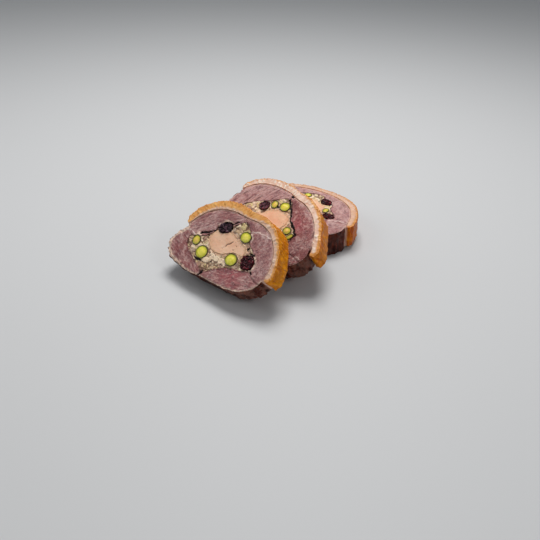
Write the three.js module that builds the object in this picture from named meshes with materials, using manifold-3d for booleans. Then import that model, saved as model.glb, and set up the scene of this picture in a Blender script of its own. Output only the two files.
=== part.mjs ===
// Three slices of a stuffed, skin-on rolled duck breast, in a row so that each one leans on the next.
// Every slice is a cross-section of the roll: a cap of skin and fat over the top, four muscles round a
// filling of coarse forcemeat, a block of foie gras in its middle, and nuts and dried berries set in it.
// Millimetres, +Z up. +X runs along the row from the front slice to the back one. It rests on z = 0.
//
// A slice is drawn in its own plane: u runs across the cut face, v up it, and w out of it.
import * as THREE from "three";
import { mergeVertices } from "three/addons/utils/BufferGeometryUtils.js";
import Module from "manifold-3d";

const wasm = await Module();
wasm.setup();

// Driving sizes.
const GAP = 0.3; // clearance between neighbouring pieces of one slice
const SEAM = 0.32; // width of the cleft between two muscles
const EDGE_ROUND = 1.6; // rounding of a muscle's outer edge, which roasting draws in
const SKIN_ROUND = 1.1; // rounding of the skin's cut edge
const PROUD = { pistachio: 0.35, berry: 0.6 }; // how far a nut or berry stands above the cut face
const WRINKLE = { pistachio: 0.015, berry: 0.11 }; // depth of its folds, as a share of its radius
const SUNK = 0.22; // how far its middle lies below the cut face, as a share of its depth
const OUTLINE_POINTS = 48; // round the whole of a slice
const SKIN_STEPS = 32; // along the cap of skin
const FILLING_POINTS = 34;
const FOIE_POINTS = 20;
const BEYOND = 8; // how far a cutting tool reaches past the face that it cuts
const UNDERLAP = 1.5; // how far the cap is drawn inside the muscles' outline, before that is cut out of it
const FLAP_THICKNESS = 1.2; // least thickness of the cap where its free end stands off the meat
const FLAP_FROM = 0.82; // where along the cap that end begins to stand off
const SMALLEST_MUSCLE = 200; // cubic millimetres: anything smaller that the seams cut off is a crumb

// The roll isn't the same all along, so each slice has its own outline, cap and filling.
// plane: where u = v = 0 lies, and how far the cut face leans back from lying flat, in degrees.
// thickness: at the foot of the slice, its growth for each millimetre up the face, and at the near end.
// body: the muscles' outer outline. skin: the cap, from one end to the other as shares of that outline,
// its thickness along the way, how far its free end stands off, and how far it stops short of the hidden
// face. muscles: roughly where each one's middle lies, which is how the pieces between the seams are named.
const SLICES = [
  {
    name: "front",
    plane: { x: 63.8, y: 67, z: 11, lean: 44 },
    thickness: { foot: 15.7, growth: 0.135, nearEnd: 12.8 },
    body: [
      [-36.8, 21], [-33.2, 27.5], [-27, 36], [-17.5, 42], [-6, 44], [2, 43.6], [12, 44], [21.2, 41.5],
      [28.8, 34.6], [33.4, 26], [34.4, 16.5], [31.5, 9], [23, 3.5], [9, 0.9], [-4.5, 0.6], [-13, -0.2],
      [-23, 0], [-33.3, 2], [-40, 6.8], [-41.4, 14.5],
    ],
    skin: { from: 0.022, to: 0.5, thick: [5, 6, 6.2, 6.1, 5.8, 5.2, 4.6, 4.2, 4, 4], flap: 0.7, shy: 0.5 },
    seams: {
      topLeft: [[-41, 22], [-36, 21.6], [-31, 21.2], [-24, 19.5]],
      foot: [[-5.5, -5], [-7, 1], [-7.5, 6], [-5, 9]],
      nearEnd: [[18, 20], [23.5, 15.8], [28.5, 13.4], [38, 12.6]],
      crown: [[1.5, 48], [1.8, 43.5], [3.2, 41], [4, 37]],
    },
    muscles: { left: [-33, 10], top: [-20, 34], near: [28, 26], foot: [12, 5] },
    filling: [
      [-28.5, 20], [-21, 22], [-15, 26.5], [-12, 31], [-3, 36], [3, 41.2], [9, 37.5], [14, 30.5],
      [19.5, 26.5], [21.5, 20.5], [19, 15.5], [10, 13.5], [0, 8.5], [-6.5, 3.8], [-11.5, 6], [-19, 9.5],
      [-26, 13],
    ],
    foie: [
      [-14, 23.5], [-11.5, 30], [-3, 31.6], [6, 29], [13, 27], [13.5, 22.6], [7, 22.5], [0, 18.6],
      [-8, 18],
    ],
    nuts: [
      { at: [8.7, 33.2], across: [4.1, 3.3], deep: 8, turn: -8 },
      { at: [-14, 14], across: [4.6, 4.1], deep: 9, turn: 4 },
      { at: [7.8, 18], across: [4.5, 3.8], deep: 8, turn: 6 },
      { at: [-22.2, 18.8], across: [3.1, 3.2], deep: 6, turn: 40 },
    ],
    berries: [
      { at: [-7.6, 33], across: [5.2, 3.5], deep: 5, turn: 22 },
      { at: [18.6, 20.8], across: [5, 4.7], deep: 6, turn: -30 },
    ],
    backNuts: [
      { at: [-17, 17], across: [4, 3.6], deep: 7, turn: 20 },
      { at: [10, 30], across: [3.8, 4.2], deep: 7, turn: 0 },
    ],
    backBerries: [{ at: [4, 17], across: [4.4, 3.4], deep: 5, turn: 10 }],
  },
  {
    name: "middle",
    plane: { x: 92.9, y: 67, z: 13, lean: 34 },
    thickness: { foot: 17.2, growth: 0.16, nearEnd: 14 },
    body: [
      [-37.8, 37], [-34, 44], [-26, 50.3], [-14, 53], [-3, 52.6], [4, 50.6], [13, 49], [22, 44],
      [29, 36.5], [34, 27.5], [35.8, 19.5], [32.5, 12], [23, 6], [9, 2.2], [-5, 2], [-15, 0.8],
      [-26, 2.5], [-34.5, 8], [-39, 17], [-39.8, 27],
    ],
    skin: {
      from: 0.027, to: 0.462, thick: [3.4, 4.4, 5, 5.2, 5.4, 5.6, 5.6, 5.2, 4.6, 4.2], flap: 2, shy: 0.8,
    },
    seams: {
      topLeft: [[-43, 30], [-37, 29.5], [-31, 29], [-23, 27]],
      foot: [[-6, -4], [-7, 2], [-7.5, 7], [-5, 11]],
      nearEnd: [[14, 20], [21, 17.5], [27.5, 16.5], [40, 13]],
      crown: [[-0.8, 57], [-0.2, 52], [0.6, 49.5], [0.5, 45]],
    },
    muscles: { left: [-34, 18], top: [-20, 46], near: [26, 30], foot: [12, 8] },
    filling: [
      [-28, 31], [-23, 36.2], [-15, 40.6], [-7, 44.6], [-2, 48.2], [2.5, 47.8], [7, 42], [10.5, 36.4],
      [16, 32.6], [20.2, 27.5], [17.5, 22], [14, 17], [4, 12], [-6, 6.5], [-13, 9], [-21, 13.5], [-28, 21],
    ],
    foie: [
      [-4.5, 37.4], [3, 38.6], [9, 36.6], [9.4, 32], [5, 25.5], [-3, 22], [-12, 23], [-14.5, 29],
      [-9, 33.6],
    ],
    nuts: [
      { at: [1.3, 42.6], across: [3.8, 3.2], deep: 8, turn: 0 },
      { at: [-6.2, 41.3], across: [2.5, 2.7], deep: 6, turn: 20 },
      { at: [13.4, 29.2], across: [3, 2.5], deep: 6, turn: -10 },
      { at: [17.6, 26.4], across: [1.5, 2.7], deep: 5, turn: -30 },
      { at: [-15, 17.5], across: [4.2, 3.9], deep: 7, turn: 0 },
    ],
    berries: [
      { at: [-12.4, 38], across: [3.9, 3.4], deep: 5, turn: 30 },
      { at: [8, 19], across: [4.4, 3.6], deep: 5, turn: -20 },
    ],
    backNuts: [
      { at: [-16, 31], across: [3.9, 3.6], deep: 7, turn: 15 },
      { at: [6, 20], across: [4.2, 3.7], deep: 7, turn: -20 },
    ],
    backBerries: [{ at: [9, 34], across: [4, 3.3], deep: 5, turn: 40 }],
  },
  {
    name: "back",
    plane: { x: 136.3, y: 82, z: 15.4, lean: 2 },
    thickness: { foot: 15.6, growth: 0.035, nearEnd: 16.6 },
    body: [
      [-37.5, 41], [-31, 49], [-21, 54.2], [-10, 57.4], [1, 58.2], [11, 56.8], [20.5, 52.3], [28, 44.3],
      [32.8, 35], [36.6, 26], [35, 18], [28.5, 9.5], [18, 4.4], [6, 1.8], [-7, 1.2], [-18, 2], [-29, 7],
      [-36.5, 16.5], [-39.5, 28],
    ],
    skin: {
      from: 0.03, to: 0.432, thick: [3.6, 4.6, 4.8, 5, 5.2, 5.4, 5.6, 5.4, 5, 4.4], flap: 0.3, shy: 2,
    },
    seams: {
      topLeft: [[-43, 33], [-36, 32.5], [-29, 31.5], [-22, 30]],
      foot: [[-7, -3], [-8, 3], [-8.5, 8], [-6, 13]],
      nearEnd: [[16, 27], [21, 29.5], [28, 32.6], [38, 33.4]],
      crown: [[-24, 62], [-22.5, 55], [-19, 51], [-15, 46]],
    },
    muscles: { left: [-30, 18], top: [-28, 44], near: [20, 46], foot: [26, 18] },
    filling: [
      [-26, 32], [-22, 41], [-16, 48], [-9, 52.6], [-3, 53.2], [2, 50.8], [9.4, 48], [12.4, 41.5],
      [19.6, 37], [22, 32], [18, 27.6], [14, 20], [5, 13], [-6, 9.5], [-15, 12], [-23, 20],
    ],
    foie: [
      [-5, 44.6], [3, 43], [8.2, 41.4], [8.8, 36.6], [10.5, 30], [4, 21], [-7, 18.5], [-15, 25], [-13, 36],
    ],
    nuts: [
      { at: [-11.6, 47.2], across: [2.9, 2.4], deep: 6, turn: -20 },
      { at: [11.7, 38.2], across: [2.1, 3.1], deep: 5, turn: 15 },
      { at: [-18.5, 27], across: [3.9, 3.6], deep: 7, turn: 10 },
    ],
    berries: [
      { at: [4.4, 47.5], across: [5.1, 3.5], deep: 5, turn: -22 },
      { at: [17.8, 33], across: [4.4, 3.7], deep: 5, turn: 10 },
    ],
    backNuts: [
      { at: [-14, 25], across: [4.1, 3.8], deep: 7, turn: 30 },
      { at: [8, 37], across: [3.7, 4], deep: 7, turn: 0 },
    ],
    backBerries: [{ at: [5, 20], across: [4.6, 3.6], deep: 5, turn: -15 }],
  },
];

// Colours as they look in daylight, with the roughness of a moist cut face.
const FINISH = {
  skin: { color: 0xc98a3c, roughness: 0.38 },
  meat: { color: 0x9a6764, roughness: 0.5 },
  filling: { color: 0xc9a77a, roughness: 0.62 },
  foie: { color: 0xd9a883, roughness: 0.45 },
  pistachio: { color: 0xbcc04a, roughness: 0.42 },
  berry: { color: 0x3a1420, roughness: 0.3 },
};
const materialOf = (kind) => new THREE.MeshStandardMaterial({ ...FINISH[kind], metalness: 0 });

// Smooth, repeatable unevenness between about -1 and 1, from a few crossing waves.
function unevenness(u, v, w, seed) {
  return (
    Math.sin(u * 0.61 + v * 0.23 + seed * 1.7) * 0.4 +
    Math.sin(v * 0.83 - w * 0.47 + seed * 2.9) * 0.35 +
    Math.sin(w * 0.91 + u * 0.37 - v * 0.31 + seed * 4.3) * 0.25
  );
}

// A closed curve through the given points, read at a share s of its length.
function closedCurve(points) {
  const curve = new THREE.CatmullRomCurve3(
    points.map(([u, v]) => new THREE.Vector3(u, v, 0)),
    true,
    "centripetal",
  );
  return (s) => {
    const p = curve.getPointAt(((s % 1) + 1) % 1);
    return new THREE.Vector2(p.x, p.y);
  };
}

const readCurve = (points, count) => {
  const at = closedCurve(points);
  return Array.from({ length: count }, (_, i) => at(i / count));
};

// The outward direction at each point of a closed outline, whichever way round it runs.
function outwardNormals(outline) {
  const turn = THREE.ShapeUtils.area(outline) > 0 ? 1 : -1;
  return outline.map((_, i) => {
    const before = outline.at(i - 1);
    const after = outline[(i + 1) % outline.length];
    const along = after.clone().sub(before).normalize();
    return new THREE.Vector2(along.y * turn, -along.x * turn);
  });
}

const grown = (outline, amount) => {
  const normals = outwardNormals(outline);
  return outline.map((p, i) => p.clone().addScaledVector(normals[i], amount));
};

// A closed body between two uneven faces. Each ring is the outline, drawn in by inset, at the height that w
// gives for (u, v).
function loft(outline, rings) {
  const anticlockwise = THREE.ShapeUtils.area(outline) > 0;
  const base = anticlockwise ? outline : [...outline].reverse();
  const normals = outwardNormals(base);
  const count = base.length;
  const positions = [];
  for (const { inset, w } of rings) {
    base.forEach((p, i) => {
      const q = p.clone().addScaledVector(normals[i], -inset(p));
      positions.push(q.x, q.y, w(q.x, q.y));
    });
  }
  const index = [];
  for (let r = 0; r + 1 < rings.length; r++) {
    for (let i = 0; i < count; i++) {
      const j = (i + 1) % count;
      const [a, b, c, d] = [r * count + i, r * count + j, (r + 1) * count + j, (r + 1) * count + i];
      index.push(a, c, b, a, d, c);
    }
  }
  const capOf = (start) => {
    const ring = base.map((_, i) => new THREE.Vector2().fromArray(positions, 3 * (start + i)));
    return THREE.ShapeUtils.triangulateShape(ring, []).map((face) => face.map((i) => start + i));
  };
  for (const [a, b, c] of capOf(0)) index.push(a, b, c);
  for (const [a, b, c] of capOf((rings.length - 1) * count)) index.push(a, c, b);
  return new THREE.BufferGeometry()
    .setAttribute("position", new THREE.Float32BufferAttribute(positions, 3))
    .setIndex(index);
}

function solidOf(geometry) {
  const bare = geometry.clone();
  bare.deleteAttribute("normal");
  bare.deleteAttribute("uv");
  const merged = mergeVertices(bare, 1e-4);
  return new wasm.Manifold(
    new wasm.Mesh({
      numProp: 3,
      vertProperties: new Float32Array(merged.attributes.position.array),
      triVerts: new Uint32Array(merged.index.array),
    }),
  );
}

function geometryOf(solid) {
  const mesh = solid.getMesh();
  const positions = new Float32Array(mesh.numVert * 3);
  for (let i = 0; i < mesh.numVert; i++) {
    positions.set(mesh.vertProperties.subarray(i * mesh.numProp, i * mesh.numProp + 3), i * 3);
  }
  return new THREE.BufferGeometry()
    .setAttribute("position", new THREE.BufferAttribute(positions, 3))
    .setIndex(new THREE.BufferAttribute(new Uint32Array(mesh.triVerts), 1));
}

// A cut can leave crumbs: the piece itself is the largest body.
const largestOf = (solid) => solid.decompose().sort((a, b) => b.volume() - a.volume())[0];

// The hidden face of a slice: a wedge that grows up the face and evens out towards the near end.
function backOf(slice) {
  const { foot, growth, nearEnd } = slice.thickness;
  return (u, v) => {
    const towardsEnd = THREE.MathUtils.smoothstep(u, 2, 36);
    return -THREE.MathUtils.lerp(foot + growth * v, nearEnd, towardsEnd);
  };
}

// A slab that runs through the whole slice, with straight sides or with rounded and uneven ones.
function slab(slice, outline, { round = 0, uneven = 0, seed = 0, layers = 2, lift = 0, shy = 0 } = {}) {
  const hidden = backOf(slice);
  const back = (u, v) => hidden(u, v) + shy;
  const rough = (w) => (p) => uneven * (0.5 - 0.5 * unevenness(p.x, p.y, w, seed));
  const rings = [];
  if (round) {
    rings.push({ inset: () => round, w: () => lift });
    rings.push({ inset: () => round * 0.3, w: () => lift - round * 0.3 });
  }
  for (let k = 0; k < layers; k++) {
    const share = k / (layers - 1);
    const top = lift - round;
    rings.push({ inset: rough(share * 15), w: (u, v) => top + (back(u, v) + round - top) * share });
  }
  if (round) {
    rings.push({ inset: () => round * 0.3, w: (u, v) => back(u, v) + round * 0.3 });
    rings.push({ inset: () => round, w: back });
  }
  return solidOf(loft(outline, rings));
}

// A straight-sided tool of the same outline, which reaches past both faces.
function cutter(slice, outline) {
  const back = backOf(slice);
  const rings = [
    { inset: () => 0, w: () => BEYOND },
    { inset: () => 0, w: (u, v) => back(u, v) - BEYOND },
  ];
  return solidOf(loft(outline, rings));
}

// A thin wavy wall along a path, which parts two muscles.
function seamCutter(slice, path) {
  const curve = new THREE.CatmullRomCurve3(path.map(([u, v]) => new THREE.Vector3(u, v, 0)));
  const points = curve.getSpacedPoints(10).map((p) => new THREE.Vector2(p.x, p.y));
  const side = (sign) =>
    points.map((p, i) => {
      const before = points[Math.max(i - 1, 0)];
      const after = points[Math.min(i + 1, points.length - 1)];
      const along = after.clone().sub(before).normalize();
      return new THREE.Vector2(-along.y, along.x).multiplyScalar((sign * SEAM) / 2).add(p);
    });
  return cutter(slice, [...side(1), ...side(-1).reverse()]);
}

// The cap of skin: the muscles' outline pushed out by the cap's thickness, closed well inside the muscles.
function skinOutline(slice) {
  const at = closedCurve(slice.body);
  const { from, to, thick, flap } = slice.skin;
  const step = 1e-3;
  const roundness = 0.022; // share of the cap over which each end is rounded
  const outer = [];
  const inner = [];
  for (let i = 0; i <= SKIN_STEPS; i++) {
    const share = i / SKIN_STEPS;
    const s = from + (to - from) * share;
    const p = at(s);
    const along = at(s + step).sub(at(s - step)).normalize();
    const out = new THREE.Vector2(-along.y, along.x);
    const place = share * (thick.length - 1);
    const low = Math.min(Math.floor(place), thick.length - 2);
    const fromEnd = Math.min(share / (2 * roundness), (1 - share) / roundness, 1);
    const rounded = 0.55 + 0.45 * Math.sqrt(1 - (1 - fromEnd) ** 2);
    const thickness = THREE.MathUtils.lerp(thick[low], thick[low + 1], place - low) * rounded;
    const swing = flap * THREE.MathUtils.smoothstep(share, FLAP_FROM, 1);
    outer.push(p.clone().addScaledVector(out, thickness + swing));
    const drawnIn = swing > 0 ? Math.max(swing - FLAP_THICKNESS, -UNDERLAP) : -UNDERLAP;
    inner.push(p.clone().addScaledVector(out, drawnIn));
  }
  return [...outer, ...inner.reverse()];
}

// A nut or berry: a ball stretched across and into the slice, sliced off just proud of the face that shows
// it. With extra, it is the whole ball, that much larger: the well that the nut or berry sits in.
function inclusion(slice, { at, across, deep, turn }, kind, { extra = 0, seed = 0, behind = false } = {}) {
  const ball = new THREE.SphereGeometry(1, 10, 6);
  ball.deleteAttribute("normal");
  ball.deleteAttribute("uv");
  const body = mergeVertices(ball, 1e-4);
  const position = body.attributes.position;
  for (let i = 0; i < position.count; i++) {
    const p = new THREE.Vector3().fromBufferAttribute(position, i);
    const fold = 1 + WRINKLE[kind] * Math.sin(p.x * 6 + seed) * Math.cos(p.y * 7 - p.z * 5 + seed * 2);
    p.multiplyScalar(fold);
    position.setXYZ(i, p.x * (across[0] + extra), p.y * (across[1] + extra), p.z * (deep + extra));
  }
  body.rotateZ(THREE.MathUtils.degToRad(turn));
  const face = behind ? backOf(slice)(...at) : 0;
  const out = behind ? -1 : 1;
  body.translate(at[0], at[1], face - out * deep * SUNK);
  const proud = behind ? 0 : PROUD[kind];
  const cut = face + out * (proud + extra);
  return extra ? solidOf(body) : solidOf(body).trimByPlane([0, 0, -out], -out * cut);
}

// What lies below the surface that the slices rest on is cut away, which leaves each its small flat foot.
function trimmedToTable(slice, solid) {
  const lean = THREE.MathUtils.degToRad(slice.plane.lean);
  return solid.trimByPlane([0, Math.sin(lean), Math.cos(lean)], -slice.plane.z);
}

function buildSlice(slice, number) {
  const group = new THREE.Group();
  const add = (part, kind, solid) => {
    const geometry = geometryOf(largestOf(trimmedToTable(slice, solid)));
    const mesh = new THREE.Mesh(geometry, materialOf(kind));
    mesh.name = slice.name + "_" + part;
    group.add(mesh);
  };

  const bodyOutline = readCurve(slice.body, OUTLINE_POINTS);
  const fillingOutline = readCurve(slice.filling, FILLING_POINTS);
  const foieOutline = readCurve(slice.foie, FOIE_POINTS);

  const wells = [];
  const place = (list, kind, behind, label) =>
    list.forEach((one, i) => {
      const seed = number * 10 + i;
      wells.push(inclusion(slice, one, kind, { extra: GAP, seed, behind }));
      add(label + "_" + (i + 1), kind, inclusion(slice, one, kind, { seed, behind }));
    });
  place(slice.nuts, "pistachio", false, "pistachio");
  place(slice.berries, "berry", false, "berry");
  place(slice.backNuts, "pistachio", true, "pistachio_behind");
  place(slice.backBerries, "berry", true, "berry_behind");
  const hollowed = (solid) => wells.reduce((left, well) => left.subtract(well), solid);

  // Skin and fat over the top.
  const skin = slab(slice, skinOutline(slice), {
    round: SKIN_ROUND,
    uneven: 0.5,
    seed: number,
    layers: 4,
    lift: 0.2,
    shy: slice.skin.shy,
  });
  add("skin", "skin", skin.subtract(cutter(slice, grown(bodyOutline, GAP))));

  // The four muscles, parted by their seams.
  const whole = slab(slice, bodyOutline, { round: EDGE_ROUND, uneven: 0.6, seed: number + 5, layers: 3 });
  const ring = Object.values(slice.seams).reduce(
    (left, path) => left.subtract(seamCutter(slice, path)),
    hollowed(whole.subtract(cutter(slice, grown(fillingOutline, GAP)))),
  );
  const parts = ring.decompose().filter((part) => part.volume() > SMALLEST_MUSCLE);
  for (const [muscle, [u, v]] of Object.entries(slice.muscles)) {
    const near = parts.map((part) => {
      const box = part.boundingBox();
      return Math.hypot((box.min[0] + box.max[0]) / 2 - u, (box.min[1] + box.max[1]) / 2 - v);
    });
    add("meat_" + muscle, "meat", parts[near.indexOf(Math.min(...near))]);
  }

  // Forcemeat, and the foie gras in its middle.
  const filling = slab(slice, fillingOutline, { lift: -0.15 });
  add("filling", "filling", hollowed(filling.subtract(cutter(slice, grown(foieOutline, GAP)))));
  add("foie_gras", "foie", hollowed(slab(slice, foieOutline)));

  // u runs towards -Y and v along +X before the slice is leaned back about Y.
  group.rotation.z = -Math.PI / 2;
  const leaned = new THREE.Group();
  leaned.rotation.y = -THREE.MathUtils.degToRad(slice.plane.lean);
  leaned.position.set(slice.plane.x, slice.plane.y, slice.plane.z);
  leaned.add(group);
  return leaned;
}

const ballotine = new THREE.Group();
SLICES.forEach((slice, i) => ballotine.add(buildSlice(slice, i + 1)));
const box = new THREE.Box3().setFromObject(ballotine, true);
ballotine.position.set(-(box.min.x + box.max.x) / 2, -(box.min.y + box.max.y) / 2, -box.min.z);

export default ballotine;
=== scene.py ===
# %% [markdown]
# # Sliced, stuffed duck breast
#
# Three slices of a rolled duck breast lean on each other in a row. Each one shows its cut face: a cap of
# skin and fat, four muscles, a coarse forcemeat with a block of foie gras in it, green pistachios and dark
# berries.
#
# The solid model comes first. It has every piece in its right place and size, but plain and smooth. This
# script lays a fine skin of small faces over a copy of each solid, moves that skin in and out to give it
# grain, beads, crumbs and wrinkles, and paints it with materials that read where each point lies in its
# slice.

# %% Load the solid model
import math

import bmesh
import bpy
import numpy as np
from mathutils import Matrix, Vector
from mathutils.bvhtree import BVHTree
from mathutils.kdtree import KDTree


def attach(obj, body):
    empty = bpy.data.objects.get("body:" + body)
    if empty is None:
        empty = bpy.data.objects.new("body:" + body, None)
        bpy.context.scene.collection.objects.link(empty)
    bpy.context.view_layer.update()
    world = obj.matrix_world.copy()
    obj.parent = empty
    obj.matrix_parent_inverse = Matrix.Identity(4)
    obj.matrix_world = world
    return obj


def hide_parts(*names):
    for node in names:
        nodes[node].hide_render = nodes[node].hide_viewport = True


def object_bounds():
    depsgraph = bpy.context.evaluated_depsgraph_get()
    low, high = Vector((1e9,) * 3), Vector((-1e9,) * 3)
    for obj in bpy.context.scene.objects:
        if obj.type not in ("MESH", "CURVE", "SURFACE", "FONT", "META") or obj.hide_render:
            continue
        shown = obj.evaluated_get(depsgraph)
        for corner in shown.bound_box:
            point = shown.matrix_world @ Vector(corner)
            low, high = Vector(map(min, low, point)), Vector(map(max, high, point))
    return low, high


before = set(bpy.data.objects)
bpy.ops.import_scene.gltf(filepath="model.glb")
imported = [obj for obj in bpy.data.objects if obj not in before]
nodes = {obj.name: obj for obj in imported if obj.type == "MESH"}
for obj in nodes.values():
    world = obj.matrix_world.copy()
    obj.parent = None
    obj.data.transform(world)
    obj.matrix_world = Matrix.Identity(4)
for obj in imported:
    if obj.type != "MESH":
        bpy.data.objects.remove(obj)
cad_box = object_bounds()
MM = 0.001
SLICES = ("front", "middle", "back")
MUSCLES = ("left", "top", "near", "foot")


def meats(slice_name):
    """The names of the four muscles of one slice."""
    return [f"{slice_name}_meat_{muscle}" for muscle in MUSCLES]


print(len(nodes), "solids in", [[round(c / MM, 1) for c in corner] for corner in cad_box])

# %% [markdown]
# ## The cut faces
#
# Meat, fat and filling all look different on the cut face and on the outside, and the fibres run in
# directions of their own across each face. So every slice gets a frame of reference: across its face, up
# its face and out of it. The foie gras is smooth and its cut face is truly flat, which makes it the best
# place to measure from.

# %% Measure each slice's cut face
# Two faces count as one flat when the cosine of the angle between them is above this.
SAME_FLAT = 0.999


def cut_face(slice_name):
    """The middle of a slice's foie gras on its cut face, and the directions across, up and out of it."""
    faces = nodes[slice_name + "_foie_gras"].data.polygons
    areas = {}
    for face in faces:
        direction = tuple(round(c, 2) for c in face.normal)
        areas[direction] = areas.get(direction, 0) + face.area
    flat = Vector(max((d for d in areas if d[2] > 0), key=areas.get)).normalized()
    shown = [face for face in faces if face.normal.dot(flat) > SAME_FLAT]
    out = sum((face.normal * face.area for face in shown), Vector()).normalized()
    area = sum(face.area for face in shown)
    middle = sum((face.center * face.area for face in shown), Vector()) / area
    across = Vector((0, -1, 0))
    return {"middle": np.array(middle), "axes": np.array([across, out.cross(across), out])}


FACES = {name: cut_face(name) for name in SLICES}
for name, face in FACES.items():
    lean = math.degrees(math.acos(face["axes"][2][2]))
    print(f"{name} slice leans back {lean:.1f} degrees from lying flat")

# %% [markdown]
# ## Relief
#
# Real food is uneven at every size, so the relief is worked out as numbers on the points of the fine skin.
# Soft lumps come from noise, which is random values on a grid with smooth passages between them. Grains,
# beads and crumbs come from cells: scattered centres, where every point of the surface knows its nearest
# two.


# %% Helpers that make relief
# Large odd numbers that scatter neighbouring grid points and seeds far apart.
GRID_FACTORS = (73856093, 19349663, 83492791)
SEED_FACTOR = 26544357
SCRAMBLER = 1274126177
RANDOM_STEPS = 0xFFFFF


def smoothstep(low, high, value):
    """0 below low, 1 above high, and an even passage between them."""
    t = np.clip((value - low) / (high - low), 0, 1)
    return t * t * (3 - 2 * t)


def random_at(grid, seed):
    """A repeatable random number between 0 and 1 for each grid point."""
    mixed = np.bitwise_xor.reduce(grid.astype(np.int64) * GRID_FACTORS, axis=1) ^ (seed * SEED_FACTOR)
    mixed = ((mixed ^ (mixed >> 13)) * SCRAMBLER) & 0x7FFFFFFF
    return ((mixed ^ (mixed >> 15)) & RANDOM_STEPS) / RANDOM_STEPS


def noise(points, size, seed=0):
    """Smooth lumps between -1 and 1, about size millimetres apart. size may differ along each direction."""
    scaled = points / np.array(size, dtype=float)
    corner = np.floor(scaled)
    t = scaled - corner
    t = t * t * t * (t * (t * 6 - 15) + 10)
    total = np.zeros(len(points))
    for step in np.ndindex(2, 2, 2):
        weight = np.prod(np.where(step, t, 1 - t), axis=1)
        total += weight * random_at(corner + step, seed)
    return total * 2 - 1


def cells(points, size, seed=0):
    """Scattered grains, size millimetres apart: how far the nearest two are, and a number of the nearest."""
    scaled = points / np.array(size, dtype=float)
    home = np.floor(scaled)
    nearest = np.full(len(points), np.inf)
    second = np.full(len(points), np.inf)
    number = np.zeros(len(points))
    for step in np.ndindex(3, 3, 3):
        grid = home + np.array(step) - 1
        centre = grid + np.stack([random_at(grid, seed + k) for k in range(3)], axis=1)
        distance = np.linalg.norm(scaled - centre, axis=1)
        closer = distance < nearest
        second = np.where(closer, nearest, np.minimum(second, distance))
        number = np.where(closer, random_at(grid, seed + 7), number)
        nearest = np.where(closer, distance, nearest)
    return nearest, second, number


# %% [markdown]
# ## A fine skin over a solid
#
# The voxel Remesh modifier turns any closed shape into an even net of small squares, which is what relief
# needs. It is applied here in code. Where several solids become one piece, each is swollen a little first,
# so that the hair-wide gap between them closes and a crease can be pressed in there afterwards.


# %% Helpers that make and shape a fine skin
# How squarely a point faces the way the cut face does: 1 on the cut face, 0 on a wall at right angles.
CUT_FACING = (0.62, 0.9)
WALL_FACING = 0.5
# An outline is read in this many directions, and kept as this many waves.
OUTLINE_SLOTS = 72
OUTLINE_WAVES = 3


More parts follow.
